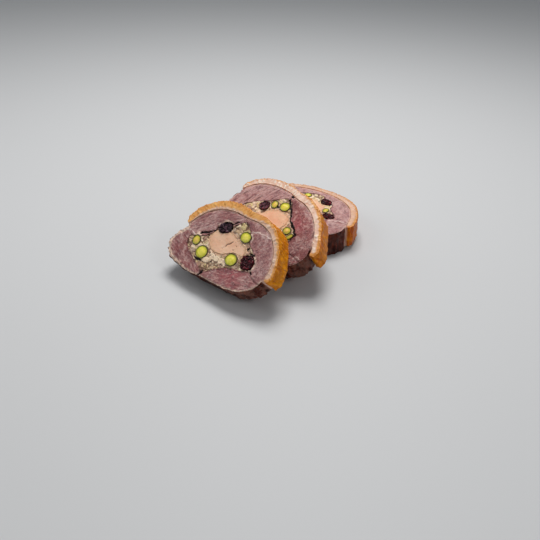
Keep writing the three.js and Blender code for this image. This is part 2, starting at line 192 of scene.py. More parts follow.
class Skin:
    """A fine mesh over copies of some solids, its points in metres and in their slice's millimetres."""

    def __init__(self, name, slice_name, sources, voxel, swell):
        shape = bmesh.new()
        for source in sources:
            shape.from_mesh(nodes[source].data)
        bmesh.ops.remove_doubles(shape, verts=shape.verts, dist=1e-6)
        shape.normal_update()
        for vert in shape.verts:
            vert.co += vert.normal * swell * MM
        mesh = bpy.data.meshes.new(name)
        shape.to_mesh(mesh)
        shape.free()
        self.piece = bpy.data.objects.new(name, mesh)
        bpy.context.scene.collection.objects.link(self.piece)
        remesh = self.piece.modifiers.new("Even net", "REMESH")
        remesh.mode = "VOXEL"
        remesh.voxel_size = voxel * MM
        depsgraph = bpy.context.evaluated_depsgraph_get()
        self.mesh = bpy.data.meshes.new_from_object(self.piece.evaluated_get(depsgraph))
        self.piece.modifiers.clear()
        self.piece.data = self.mesh
        self.mesh.name = name
        self.mesh.materials.clear()
        self.face = FACES[slice_name]
        self.sources = sources
        self.points = self.read("co")
        self.normals = self.read("normal")
        self.local = (self.points - self.face["middle"]) @ self.face["axes"].T / MM
        self.facing = np.abs(self.normals @ self.face["axes"][2])
        self.cut = smoothstep(*CUT_FACING, self.facing)

    def read(self, what):
        """The mesh's own numbers for each point, three by three."""
        values = np.empty(len(self.mesh.vertices) * 3)
        self.mesh.vertices.foreach_get(what, values)
        return values.reshape(-1, 3)

    def distance(self, *others):
        """How far each point is from these solids, in millimetres."""
        other = bmesh.new()
        for source in others:
            other.from_mesh(nodes[source].data)
        tree = BVHTree.FromBMesh(other)
        other.free()
        return np.array([tree.find_nearest(point)[3] for point in map(Vector, self.points)]) / MM

    def from_wall(self, wall):
        """How far each point is from the nearest point of the wall, a choice of this skin's own points."""
        chosen = np.flatnonzero(wall)
        tree = KDTree(len(chosen))
        for index in chosen:
            tree.insert(self.points[index], index)
        tree.balance()
        return np.array([tree.find(point)[2] for point in self.points]) / MM

    def shaken(self, size, seed, directions=3):
        """A random shift between -1 and 1 for each point, along each direction."""
        return np.stack([noise(self.local, size, seed + k) for k in range(directions)], axis=1)

    def rounded(self):
        """Evens out a many-cornered outline: each point moves in or out to a curve of a few smooth waves."""
        middle = (self.local.max(axis=0) + self.local.min(axis=0)) / 2
        across, up = (self.local - middle)[:, :2].T
        radius = np.hypot(across, up)
        turns = np.arctan2(up, across) / (2 * math.pi) + 0.5
        slot = np.floor(turns * OUTLINE_SLOTS).astype(int) % OUTLINE_SLOTS
        outline = np.array([radius[slot == k].max() for k in range(OUTLINE_SLOTS)])
        waves = np.fft.rfft(outline)
        waves[OUTLINE_WAVES + 1 :] = 0
        smooth = np.fft.irfft(waves, OUTLINE_SLOTS)
        growth = (smooth / outline)[slot]
        self.local[:, :2] = middle[:2] + (self.local - middle)[:, :2] * growth[:, None]
        self.points = self.local @ self.face["axes"] * MM + self.face["middle"]

    def push(self, height):
        """Moves the points out by height millimetres, but never past the solid model's own box."""
        self.points = self.points + self.normals * height[:, None] * MM
        self.points = np.clip(self.points, np.array(cad_box[0]), np.array(cad_box[1]))

    def note(self, **notes):
        """Keeps values for each point under their names, for the material to read."""
        for name, values in notes.items():
            kind, field = ("FLOAT_VECTOR", "vector") if values.ndim == 2 else ("FLOAT", "value")
            attribute = self.mesh.attributes.new(name, kind, "POINT")
            attribute.data.foreach_set(field, np.ascontiguousarray(values, dtype=np.float32).ravel())

    def done(self, material, slot):
        """Writes the points back, and makes the piece stand for its solids."""
        self.mesh.vertices.foreach_set("co", self.points.ravel())
        self.mesh.polygons.foreach_set("use_smooth", np.ones(len(self.mesh.polygons), dtype=bool))
        self.mesh.update()
        self.mesh.materials.append(material)
        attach(self.piece, "root")
        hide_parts(*self.sources)
        print(f"{self.piece.name}: {len(self.mesh.polygons)} faces")


# %% [markdown]
# ## Writing materials as arithmetic
#
# A material is a net of nodes. Written as Python expressions it reads like the sum that it is: a colour
# mixed by a mask, a mask made of noise times a distance. The class below wraps one socket, turns + - * into
# Math nodes, and has one method for every other kind of node.


# %% The socket class and the palette
class Socket:
    """One output of a material's node tree, usable in arithmetic."""

    def __init__(self, tree, output=None):
        self.tree = tree
        self.output = output

    def node(self, kind, settings=None, inputs=None, output=0):
        """Adds a node: its settings, then the values or links of its sockets. Gives one of its outputs."""
        made = self.tree.nodes.new(kind)
        for key, value in (settings or {}).items():
            setattr(made, key, value)
        for key, value in (inputs or {}).items():
            if isinstance(value, Socket):
                self.tree.links.new(value.output, made.inputs[key])
            else:
                made.inputs[key].default_value = value
        return Socket(self.tree, made.outputs[output])

    def math(self, operation, *others):
        """Arithmetic on this socket and others."""
        return self.node("ShaderNodeMath", {"operation": operation}, dict(enumerate((self, *others))))

    def __add__(self, other):
        return self.math("ADD", other)

    __radd__ = __add__

    def __sub__(self, other):
        return self.math("SUBTRACT", other)

    def __rsub__(self, other):
        return (self * -1) + other

    def __mul__(self, other):
        return self.math("MULTIPLY", other)

    __rmul__ = __mul__

    def between(self, low, high):
        """0 below low, 1 above high, with an even passage between them."""
        span = {"Value": self, "From Min": low, "From Max": high}
        return self.node("ShaderNodeMapRange", {"interpolation_type": "SMOOTHSTEP"}, span)


def linear(level):
    """A screen's level, 0 to 255, as the share of full light that the renderer wants."""
    return level / 255 / 12.92 if level <= 10 else ((level / 255 + 0.055) / 1.055) ** 2.4


def colour(red, green, blue):
    """An opaque colour, from the levels that a screen shows it with."""
    return linear(red), linear(green), linear(blue), 1.0


class Finish:
    """A new material with its Principled shader, read through the points' own values."""

    def __init__(self, name, **constants):
        self.material = bpy.data.materials.new(name)
        self.material.use_nodes = True
        self.tree = self.material.node_tree
        self.shader = self.tree.nodes["Principled BSDF"]
        for key, value in constants.items():
            self.shader.inputs[key.replace("_", " ")].default_value = value
        self.start = Socket(self.tree)
        self.place = self.vector("place")

    def value(self, name):
        """What the points noted as one number."""
        return self.start.node("ShaderNodeAttribute", {"attribute_name": name}, {}, "Fac")

    def vector(self, name):
        """What the points noted as three numbers."""
        return self.start.node("ShaderNodeAttribute", {"attribute_name": name}, {}, "Vector")

    def mix(self, share, below, above):
        """One colour turning into another as share goes from 0 to 1."""
        return self.start.node("ShaderNodeMix", {"data_type": "RGBA"}, {0: share, 6: below, 7: above}, 2)

    def noise(self, place, scale, detail=3.0, roughness=0.55):
        """Soft lumps between 0 and 1, scale of them in a millimetre."""
        settings = {"Vector": place, "Scale": scale, "Detail": detail, "Roughness": roughness}
        return self.start.node("ShaderNodeTexNoise", {}, settings, "Fac")

    def grains(self, place, scale):
        """How far it is to the nearest of some scattered specks."""
        return self.start.node("ShaderNodeTexVoronoi", {}, {"Vector": place, "Scale": scale})

    def stretch(self, place, factors):
        """The same places, squeezed along each direction by its factor."""
        settings = {"operation": "MULTIPLY"}
        return self.start.node("ShaderNodeVectorMath", settings, {0: place, 1: factors})

    def set(self, base, roughness, relief, depth, strength):
        """Links colour, roughness and bump. depth is the bump's height in millimetres."""
        self.link(base, "Base Color")
        self.link(roughness, "Roughness")
        settings = {"Strength": strength, "Distance": depth * MM, "Height": relief}
        self.link(self.start.node("ShaderNodeBump", {}, settings), "Normal")
        return self.material

    def link(self, value, socket):
        """Gives one of the shader's sockets a value or a link."""
        if isinstance(value, Socket):
            self.tree.links.new(value.output, self.shader.inputs[socket])
        else:
            self.shader.inputs[socket].default_value = value


# %% [markdown]
# ## What the knife laid bare
#
# Some marks are too plain to leave to chance: the dark gaps where the filling has come away from the meat,
# the white sinews, the cracks in the liver. They are short paths drawn on each cut face, in millimetres
# across and up from the middle of the foie gras. A point's distance from a path, bent a little by noise,
# shapes the mark. The dark in the gaps and in the cracks is painted shade.

# %% Marks on the three faces
GAPS = {
    "front": [
        [(-21, -0.9), (-12, 4.2), (-11.5, 6.5)],
        [(-3.2, 11.6), (0, 15)],
        [(-15.2, -15.3), (-10.1, -14.8)],
        [(15.3, 3.2), (16, 3.9)],
        [(18.5, 1), (21.9, 1.7)],
        [(25.2, -7.5), (26.5, -8.5)],
        [(-4.6, -20.4), (-5.7, -22.1), (-7, -25)],
    ],
    "middle": [
        [(3.2, 18), (7.5, 13.8), (11.2, 8.5), (13.1, 5.4), (17.8, 2.7), (21.9, -1.3), (20.8, -5.6)],
        [(2.6, 20.8), (4.2, 21.2)],
        [(-4.1, 10.8), (-0.2, 10.5)],
    ],
    "back": [[(18, 2.5), (21, 4)]],
}
SPLITS = {
    "front": [],
    "middle": [
        [(-33.8, 2.2), (-27.4, 13.3)],
        [(-25.3, 4.2), (-17.4, 18.5)],
        [(-19.7, 8.2), (-11.7, 20.9)],
        [(18, 11), (22, 6), (27, 4)],
        [(31, 6.5), (33.6, 1.9), (35.9, -4.5), (36.5, -8)],
    ],
    "back": [],
}
SINEWS = {
    "front": [[(10.9, 12.7), (18, 14.4), (26.4, 14.2)], [(-32.7, -2.6), (-27, -2), (-23.1, -4)]],
    "middle": [[(30.5, -14.2), (32.5, -12.8), (35.1, -13.9)]],
    "back": [[(24, -2), (29, 1.5), (33, 2.5)]],
}
CRACKS = {
    "front": [
        [(-0.8, -3.6), (1.2, 0), (3.6, 2.9)],
        [(6.6, -1), (7.6, -0.4)],
        [(7.4, 1), (7.8, 1.3)],
        [(-1.6, 2.2), (-1.4, 2.4)],
    ],
    "middle": [],
    "back": [[(-3, -6), (4, 2)]],
}
# The reddest place of each slice: across, up, and how far it reaches.
BLUSH = {"front": (15.8, -13.5, 9), "middle": (18.5, 6, 6), "back": (14, 2, 9)}
# Meat and filling share one seed, so that a gap runs on from one to the other.
GAP_SEED = 100
# Millimetres from a mark where nothing of it shows, and depth under the cut face where none is drawn.
OUT_OF_REACH = 9.0
HIDDEN_BELOW = -3


def from_path(places, path):
    """Distance in millimetres of each place, across and up the face, from a path of straight stretches."""
    nearest = np.full(len(places), np.inf)
    for start, end in zip(np.array(path[:-1], dtype=float), np.array(path[1:], dtype=float)):
        along = end - start
        share = np.clip((places - start) @ along / (along @ along), 0, 1)
        nearest = np.minimum(nearest, np.linalg.norm(places - start - share[:, None] * along, axis=1))
    return nearest


def from_marks(skin, paths, seed):
    """Distance of each point from the nearest path, with a shaky hand, and far away on the hidden side."""
    bent = skin.local[:, :2] + 0.45 * skin.shaken(1.4, seed, directions=2)
    nearest = np.full(len(bent), OUT_OF_REACH)
    for path in paths:
        nearest = np.minimum(nearest, from_path(bent, path))
    hidden = skin.local[:, 2] < HIDDEN_BELOW
    return nearest + 0.25 * noise(skin.local, 2.5, seed + 2) + OUT_OF_REACH * hidden


# %% [markdown]
# ## Muscle
#
# Cooked pink duck has fine fibres that run their own way in each muscle, pale sinew between them, and a
# dark, moist outside. Cut along, the fibres show as streaks. Cut across, they show as grain. The four
# muscles of a slice are one piece here, with creases pressed in where they meet, and every point keeps its
# place turned to the grain of its own muscle.

# %% Muscle: fibre directions and fine skin
FIBRE_TURN = {
    "front": {"left": -19, "top": 36, "near": 60, "foot": 17},
    "middle": {"left": -20, "top": 61, "near": 62, "foot": 10},
    "back": {"left": 40, "top": 50, "near": 66, "foot": 20},
}
FIBRE_SQUEEZE = {"left": 0.2, "top": 0.17, "near": 0.6, "foot": 0.2}
PALENESS = {
    "front": {"left": 0.25, "top": 0.5, "near": 0.5, "foot": 0.4},
    "middle": {"left": 0.7, "top": 0.9, "near": 0.25, "foot": 0.15},
    "back": {"left": 0.7, "top": 0.9, "near": 0.9, "foot": 0.7},
}
FRAYED = {"front": 1.5, "middle": 0.5, "back": 0.8}
# How strongly a pale film shows on each slice's wall: partly a wet film, partly painted light and sheen.
FILM_AND_LIGHT = {"front": 0.5, "middle": 0.4, "back": 0.1}
MEAT_VOXEL = 0.4
MEAT_SWELL = 0.22


def muscle_skin(slice_name):
    """The four muscles of a slice as one piece, with their fibres, creases and browned outside."""
    sources = meats(slice_name)
    skin = Skin(f"{slice_name}_meat", slice_name, sources, MEAT_VOXEL, MEAT_SWELL)
    apart = np.stack([skin.distance(source) for source in sources])
    order = np.sort(apart, axis=0)
    crease = 1 - smoothstep(0.1, 0.9, order[1] - order[0])
    crease = crease * smoothstep(-0.6, 0.2, noise(skin.local, 5, 1))
    owner = np.argmin(apart, axis=0)
    turn = np.radians([FIBRE_TURN[slice_name][muscle] for muscle in MUSCLES])[owner]
    squeeze = np.array([FIBRE_SQUEEZE[muscle] for muscle in MUSCLES])[owner]
    pale = np.array([PALENESS[slice_name][muscle] for muscle in MUSCLES])[owner]
    across, up, out = skin.local.T
    sway = 1.2 * noise(skin.local, 9, 2)
    along_fibre = (across * np.cos(turn) + up * np.sin(turn)) * squeeze
    over_fibre = up * np.cos(turn) - across * np.sin(turn) + sway
    grain = np.stack([along_fibre + owner * 37, over_fibre, out * 0.3], axis=1)
    filling = skin.distance(f"{slice_name}_filling", f"{slice_name}_foie_gras")
    cap = skin.distance(f"{slice_name}_skin")
    beside = np.minimum(filling, cap)
    wall = (1 - skin.cut) * smoothstep(0.5, 1.2, beside)
    edge = skin.from_wall((skin.facing < WALL_FACING) & (beside > 1.2))
    gap = from_marks(skin, GAPS[slice_name], GAP_SEED)
    split = from_marks(skin, SPLITS[slice_name], 110)
    sinew = from_marks(skin, SINEWS[slice_name], 120)
    torn = (1 - smoothstep(0.1, 1.0, filling)) * smoothstep(-0.1, 0.5, noise(skin.local, 3, 8))
    fibres = noise(grain, (1.1, 0.9, 1), 3) * 0.5 + noise(grain, (0.6, 0.5, 1), 4) * 0.5
    frayed = FRAYED[slice_name] * (1 + smoothstep(-14, -26, across))
    ragged = 1 - smoothstep(0.0, 1.0 + frayed, edge)
    face_height = (
        0.22 * noise(skin.local, 6, 5)
        + 0.18 * fibres
        + 0.06 * noise(skin.local, 0.9, 6)
        - 0.35 * crease
        - 0.3 * torn
        - 0.9 * (1 - smoothstep(0.2, 0.8, gap))
        - 0.35 * (1 - smoothstep(0.1, 0.5, split))
        + 0.12 * (1 - smoothstep(0.1, 0.5, sinew))
        - ragged * (0.1 + (0.2 + 0.25 * frayed) * noise(skin.local, (1.4, 1.4, 3), 9))
        - 0.2
    )
    wall_height = (
        0.5 * noise(skin.local, (4, 4, 7), 10)
        + 0.6 * noise(skin.local, (1.9, 1.9, 4), 11)
        + 0.15 * noise(skin.local, 0.8, 12)
        - 0.15
        - 0.5 * crease
    )
    height = skin.cut * (face_height - MEAT_SWELL) + wall * (wall_height - MEAT_SWELL)
    height = height + 0.7 * (1 - smoothstep(0.1, 0.8, cap))
    height = height + 0.2 * (1 - smoothstep(0.1, 0.6, filling)) * (1 - torn)
    skin.push(height)
    at_across, at_up, reach = BLUSH[slice_name]
    blush = np.exp(-((across - at_across) ** 2 + (up - at_up) ** 2) / reach**2)
    # Paler towards the right end of the wall: painted light on the lit end, painted shade at the left.
    wet = FILM_AND_LIGHT[slice_name] * smoothstep(-5, 22, across)
    skin.note(place=skin.local, grain=grain, wall=wall, pale=pale, torn=torn, crease=crease, gap=gap)
    skin.note(split=split, sinew=sinew, cap=cap, edge=edge, blush=blush, frayed=frayed, wet=wet)
    return skin


# %% Muscle: material
def meat_material():
    """Streaked rosy meat on the cut face, and a dark roasted outside."""
    finish = Finish(
        "duck meat",
        Coat_Roughness=0.2,
        Specular_IOR_Level=0.1,
        Subsurface_Weight=0.08,
        Subsurface_Radius=(1, 0.4, 0.25),
        Subsurface_Scale=2 * MM,
    )
    grain = finish.vector("grain")
    streaks = finish.noise(grain, 0.9, 5, 0.62)
    fine = finish.noise(grain, 2.2, 4, 0.6)
    threads = finish.noise(finish.stretch(grain, (1, 0.6, 1)), 0.9, 3)
    threads = (threads - 0.5).math("ABSOLUTE").between(0.03, 0.004)
    clouds = finish.noise(finish.place, 0.1, 3)
    tone = finish.value("pale") + (clouds - 0.5) * 1.6
    tint = finish.mix(tone.between(0.0, 1.0), colour(144, 86, 84), colour(190, 146, 142))
    tint = finish.mix(finish.value("blush") * 0.75, tint, colour(172, 84, 90))
    tint = finish.mix(streaks.between(0.5, 0.68) * 0.75, tint, colour(104, 56, 58))
    tint = finish.mix(streaks.between(0.47, 0.32) * 0.55, tint, colour(214, 174, 162))
    tint = finish.mix(fine.between(0.53, 0.7) * 0.35, tint, colour(218, 184, 174))
    tint = finish.mix(fine.between(0.46, 0.3) * 0.5, tint, colour(98, 52, 54))
    # Large darker and lighter blotches across the muscle: painted shade and painted light, in random places.
    shade_blotch = finish.noise(finish.place, 0.19, 4, 0.6)
    tint = finish.mix(shade_blotch.between(0.5, 0.64) * 0.6, tint, colour(110, 62, 68))
    tint = finish.mix(shade_blotch.between(0.47, 0.34) * 0.5, tint, colour(212, 176, 168))
    tint = finish.mix(threads * clouds.between(0.45, 0.55) * 0.45, tint, colour(232, 210, 198))
    fray = finish.noise(finish.stretch(grain, (2.5, 1, 1)), 1.0, 4)
    rim = (finish.value("edge") + fray * 4 - finish.value("frayed")).between(2.3, 0.8)
    tint = finish.mix(rim * 0.9, tint, colour(234, 204, 182))
    beside_cap = finish.value("cap").between(1.3, 0.2) * fray.between(0.25, 0.45)
    tint = finish.mix(beside_cap * 0.75, tint, colour(228, 190, 172))
    wobble = (finish.noise(finish.place, 1.8, 3) - 0.5) * 1.2
    sinew = (finish.value("sinew") + wobble).between(0.55, 0.1)
    tint = finish.mix(sinew * 0.85, tint, colour(236, 214, 202))
    # The splits in the meat are darkened with painted shade.
    split = (finish.value("split") + wobble * 0.6).between(0.35, 0.05)
    tint = finish.mix(split * 0.6, tint, colour(74, 34, 36))
    # Creases between the muscles and torn hollows beside the filling are darkened with painted shade.
    sunk_shade = finish.value("torn") * 0.7 + finish.value("crease") * 0.35
    tint = finish.mix(sunk_shade, tint, colour(64, 30, 26))
    # The gaps where the filling came away are painted near black: painted shade.
    gap = (finish.value("gap") + wobble * 0.5).between(0.75, 0.4)
    tint = finish.mix(gap, tint, colour(26, 12, 12))
    roast = finish.noise(finish.stretch(finish.place, (1, 1, 0.5)), 0.4, 5)
    # A pale film on the walls: partly a wet film of juices, partly painted sheen and painted light.
    lit_film = finish.value("wet") * (clouds + shade_blotch - 0.5).between(0.3, 0.6)
    side = finish.mix(roast.between(0.35, 0.65), colour(40, 5, 0), colour(90, 26, 8))
    side = finish.mix(lit_film * 0.8, side, colour(168, 118, 100))
    # Orange spots on the peaks of the roast: painted warm highlights.
    side = finish.mix(roast.between(0.6, 0.72) * 0.5, side, colour(160, 80, 36))
    base = finish.mix(finish.value("wall").between(0.25, 0.85), tint, side)
    relief = fine * 0.4 + streaks * 0.4 + fray * 0.2
    shine = finish.noise(finish.place, 0.8, 4).between(0.48, 0.62)
    finish.link(shine * 0.3, "Coat Weight")
    moist = finish.noise(finish.place, 1.4).between(0.4, 0.65)
    rough = 0.6 - moist * 0.2 - finish.value("wall") * 0.15
    return finish.set(base, rough, relief, 0.4, 0.8)


# %% Muscle: make the three slices' pieces
MEAT = meat_material()
for name in SLICES:
    muscle_skin(name).done(MEAT, "meat")

# %% [markdown]
# ## Skin and fat
#
# The cap is pale fat at the cut and crisp golden skin outside. The skin is drawn into small ridges between
# its pores. They run through the thickness of the slice, and where the knife crossed them they show as a
# row of beads along the rim. So the ridges are long cells laid out round the roll: across the rim on the
# cut face, and through the thickness on the wall. How far a point is from the outer wall tells fat from
# golden skin.

# %% Skin and fat: beads, ridges and pores
CAP_VOXEL = 0.36
CAP_SWELL = 0.12
GOLD_DEPTH = {
    "front": {"far_end": 4.2, "near_end": 1.6},
    "middle": {"far_end": 1.0, "near_end": 2.0},
    "back": {"far_end": 0.9, "near_end": 1.5},
}
ROAST = {"front": 0.3, "middle": 0.6, "back": 1.0}
ROLL_RADIUS = 28


def cap_skin(slice_name):
    """The cap of skin and fat over one slice."""
    skin = Skin(f"{slice_name}_cap", slice_name, [f"{slice_name}_skin"], CAP_VOXEL, CAP_SWELL)
    away = skin.distance(*meats(slice_name))
    edge = skin.from_wall((skin.facing < WALL_FACING) & (away > 2.2))
    across, up, out = skin.local.T
    round_roll = np.stack([np.arctan2(up, across) * ROLL_RADIUS, np.hypot(across, up), out], axis=1)
    round_roll = round_roll + 0.5 * skin.shaken(2.5, 30)
    far_end, near_end = (GOLD_DEPTH[slice_name][end] for end in ("far_end", "near_end"))
    golden_to = far_end + (near_end - far_end) * smoothstep(4, 24, across)
    golden_to = golden_to + 0.5 * noise(round_roll, (1.6, 4, 4), 21)
    gold = 1 - smoothstep(golden_to - 0.6, golden_to + 0.7, edge)
    hidden = (1 - smoothstep(0.5, 1.2, away)) * (1 - skin.cut)
    near, _, number = cells(round_roll, (1.7, 4.2, 5), 22)
    bead = smoothstep(0.62, 0.08, near) * (0.5 + 0.5 * number)
    fat_height = 0.5 * bead * smoothstep(0.2, 1.2, away) + 0.1 * noise(skin.local, 1.0, 27) - 0.3
    wall_height = 0.3 * noise(round_roll, 8, 26) + 0.5 * bead + 0.1 * noise(skin.local, 1.1, 28) - 0.2
    height = skin.cut * (fat_height - CAP_SWELL)
    height = height + (1 - skin.cut) * (1 - hidden) * (wall_height - CAP_SWELL)
    height = height + 0.4 * (1 - smoothstep(0.1, 0.8, away))
    skin.push(height)
    golden = np.maximum(gold * skin.cut, (1 - skin.cut) * smoothstep(0.8, 2.0, away))
    roast = np.full(len(across), ROAST[slice_name])
    skin.note(place=skin.local, round=round_roll, cut=skin.cut, away=away, edge=edge, gold=golden)
    skin.note(bead=bead, roast=roast)
    return skin


# %% Skin and fat: material
def cap_material():
    """Pale fat at the cut, golden skin at its rim and on the outside."""
    finish = Finish(
        "skin and fat",
        Coat_Roughness=0.15,
        Specular_IOR_Level=0.05,
        Subsurface_Weight=0.08,
        Subsurface_Radius=(1, 0.5, 0.3),
        Subsurface_Scale=2 * MM,
    )
    cut = finish.value("cut")
    blotch = finish.noise(finish.place, 0.18, 3)
    # One noise for dark flecks on the wall and for painted glints on the wall and the top.
    flecks_and_glints = finish.noise(finish.place, 1.1, 4, 0.65)
    ridge = finish.noise(finish.stretch(finish.vector("round"), (1, 0.3, 0.22)), 0.9, 4)
    bead = finish.value("bead")
    fat = finish.mix(blotch.between(0.35, 0.65), colour(228, 188, 164), colour(244, 214, 196))
    # Whiter bead tops on the fat: partly the fat's own white, partly painted highlight.
    fat = finish.mix(bead.between(0.1, 0.7) * 0.8, fat, colour(250, 234, 216))
    fat = finish.mix(ridge.between(0.55, 0.72) * 0.4, fat, colour(206, 146, 104))
    fat = finish.mix(finish.value("away").between(1.3, 0.1) * 0.5, fat, colour(214, 156, 138))
    fat = finish.mix(finish.value("roast").between(0.55, 0.3) * 0.45, fat, colour(204, 156, 122))
    fat = finish.mix(finish.value("roast").between(0.6, 1.0) * 0.55, fat, colour(204, 150, 112))
    roast = finish.value("roast") * 0.7 + blotch.between(0.4, 0.65) * 0.3
    wall = finish.mix(roast, colour(240, 156, 14), colour(190, 78, 0))
    # Darker between the beads of the golden wall: painted shade.
    wall = finish.mix(bead.between(0.15, 0.0) * 0.25, wall, colour(140, 60, 0))
    wall = finish.mix(ridge.between(0.5, 0.7) * 0.55, wall, colour(150, 66, 0))
    wall = finish.mix(flecks_and_glints.between(0.45, 0.3) * 0.5, wall, colour(130, 54, 0))
    # Brighter tops of the beads on the golden wall: painted highlight.
    wall = finish.mix(bead.between(0.3, 0.8) * 0.35, wall, colour(252, 176, 30))
    # Bright spots on the golden wall: painted glints.
    wall = finish.mix(flecks_and_glints.between(0.6, 0.7) * 0.5, wall, colour(252, 196, 90))
    top = finish.mix(blotch.between(0.35, 0.65), colour(226, 156, 84), colour(236, 176, 104))
    top = finish.mix(ridge.between(0.5, 0.7) * 0.35, top, colour(196, 116, 44))
    # Bright spots on the top of the cap: painted glints.
    top = finish.mix(flecks_and_glints.between(0.58, 0.7) * 0.55, top, colour(246, 210, 150))
    golden = finish.mix(cut, wall, top)
    rim = (finish.value("edge") - finish.value("roast") * 1.6).between(1.2, 0.0)
    rim = rim * flecks_and_glints.between(0.55, 0.4) * cut
    base = finish.mix(finish.value("gold"), fat, golden)
    base = finish.mix(rim * 0.65, base, colour(150, 82, 26))
    relief = ridge * 0.5 + flecks_and_glints * 0.5
    finish.link(flecks_and_glints.between(0.47, 0.6) * 0.35, "Coat Weight")
    return finish.set(base, 0.5 - finish.value("gold") * 0.12, relief, 0.35, 0.7)


# %% Skin and fat: make the three caps
CAP = cap_material()
for name in SLICES:
    cap_skin(name).done(CAP, "skin")

# %% [markdown]
# ## Forcemeat
#
# The filling is meat chopped coarse and set in its own fat: pale chunks of a few millimetres, crevices
# between them, darkened with painted shade, and dark flecks. Cells give both the chunks, which stand up or
# sink a little one by one, and the crevices, where a point is about as far from one centre as from the next.

# %% Forcemeat: chunks and crevices
FILLING_VOXEL = 0.36
FILLING_SWELL = 0.1
# How far apart the centres of the chunks and of the crumbs are, in millimetres.
CHUNK = 3.0
CRUMB = 1.1


def filling_skin(slice_name):
    """The forcemeat of one slice."""
    sources = [f"{slice_name}_filling"]
    skin = Skin(f"{slice_name}_forcemeat", slice_name, sources, FILLING_VOXEL, FILLING_SWELL)
    warped = skin.local + 0.8 * skin.shaken(1.8, 30)
    near, far, chunk = cells(warped, CHUNK, 34)
    _, _, crumb = cells(warped, CRUMB, 36)
    meat = skin.distance(*meats(slice_name))
    border = (1 - smoothstep(0.2, 1.1, meat)) * smoothstep(-0.25, 0.35, noise(skin.local, 3, 38))
    crevice = (far - near) * CHUNK - 0.4 * noise(skin.local, 4, 39)
    gap = from_marks(skin, GAPS[slice_name], GAP_SEED)
    liver = skin.distance(f"{slice_name}_foie_gras")
    height = (
        0.4 * (chunk - 0.5)
        + 0.3 * (1 - smoothstep(0.1, 0.6, liver))
        - 0.45 * (1 - smoothstep(0.1, 0.7, crevice))
        + 0.2 * (crumb - 0.5)
        - 0.5 * border
        - 0.9 * (1 - smoothstep(0.2, 0.8, gap))
        + 0.06 * noise(skin.local, 0.7, 40)
        - 0.1
    )
    skin.push((height - FILLING_SWELL) * skin.cut)
    skin.note(place=skin.local, chunk=chunk, crumb=crumb, crevice=crevice)
    skin.note(border=border, liver=liver, gap=gap)
    return skin


# %% Forcemeat: material
def filling_material():
    """Chunks of several shades, with crevices darkened by painted shade, and dark flecks."""
    finish = Finish(
        "forcemeat",
        Coat_Weight=0.15,
        Coat_Roughness=0.3,
        Specular_IOR_Level=0.3,
        Subsurface_Weight=0.08,
        Subsurface_Radius=(1, 0.5, 0.3),
        Subsurface_Scale=2 * MM,
    )
    chunk = finish.value("chunk")
    crumb = finish.value("crumb")
    mottle = finish.noise(finish.place, 1.6, 5, 0.6)
    wobble = (finish.noise(finish.place, 1.8, 3) - 0.5) * 1.2
    tint = finish.mix(chunk.between(0.3, 0.9), colour(206, 172, 134), colour(252, 224, 192))
    tint = finish.mix(chunk.between(0.2, 0.16) * 0.75, tint, colour(178, 130, 116))
    yellowish = chunk.between(0.6, 0.64) * chunk.between(0.78, 0.74)
    tint = finish.mix(yellowish * 0.7, tint, colour(214, 192, 118))
    greyish = chunk.between(0.4, 0.43) * chunk.between(0.54, 0.5)
    tint = finish.mix(greyish * 0.6, tint, colour(156, 132, 126))
    tint = finish.mix(crumb.between(0.2, 0.14) * 0.25, tint, colour(150, 104, 76))
    tint = finish.mix(crumb.between(0.93, 0.945) * 0.9, tint, colour(44, 24, 20))
    patch = finish.noise(finish.place, 0.42, 2)
    tint = finish.mix(patch.between(0.5, 0.62) * 0.35, tint, colour(238, 204, 168))
    tint = finish.mix(patch.between(0.48, 0.36) * 0.35, tint, colour(168, 138, 108))
    tint = finish.mix(mottle.between(0.56, 0.7) * 0.35, tint, colour(146, 98, 68))
    tint = finish.mix(mottle.between(0.44, 0.3) * 0.3, tint, colour(252, 234, 206))
    # Crevices between the chunks are darkened brown with painted shade.
    crevice = (finish.value("crevice") + wobble).between(0.5, 0.1)
    tint = finish.mix(crevice * 0.75, tint, colour(104, 62, 42))
    spill = (finish.noise(finish.place, 0.45, 4) - 0.42) * 6
    smeared = (finish.value("liver") - spill).between(0.9, 0.4)
    tint = finish.mix(smeared * 0.8, tint, colour(236, 188, 152))
    # A dark border where the filling meets the meat: painted shade in the seam.
    base = finish.mix(finish.value("border") * 0.8, tint, colour(84, 44, 32))
    # Gaps where the filling came away are painted near black: painted shade.
    gap = (finish.value("gap") + wobble * 0.5).between(0.75, 0.4)
    base = finish.mix(gap, base, colour(22, 10, 10))
    return finish.set(base, 0.55, mottle, 0.35, 0.7)


# %% Forcemeat: make the three fillings
FILLING = filling_material()
for name in SLICES:
    filling_skin(name).done(FILLING, "filling")

# %% [markdown]
# ## Foie gras
#
# The liver is the one smooth thing on the face: even, peach-coloured and waxy, with a hair crack or two
# where the knife dragged it, and a few small dark flecks.

# %% Foie gras: shape
FOIE_VOXEL = 0.34
FOIE_SWELL = 0.16


def foie_skin(slice_name):
    """The block of foie gras in one slice."""
    sources = [f"{slice_name}_foie_gras"]
    skin = Skin(f"{slice_name}_liver", slice_name, sources, FOIE_VOXEL, FOIE_SWELL)
    crack = from_marks(skin, CRACKS[slice_name], 50)
    height = 0.12 * noise(skin.local, 5, 53) + 0.05 * noise(skin.local, 1.3, 54) - 0.12
    border = skin.distance(f"{slice_name}_filling")
    height = height - 0.3 * (1 - smoothstep(0.1, 0.5, crack)) + 0.3 * (1 - smoothstep(0.1, 0.6, border))
    skin.push((height - FOIE_SWELL) * skin.cut)
    skin.note(place=skin.local, crack=crack, border=border)
    return skin


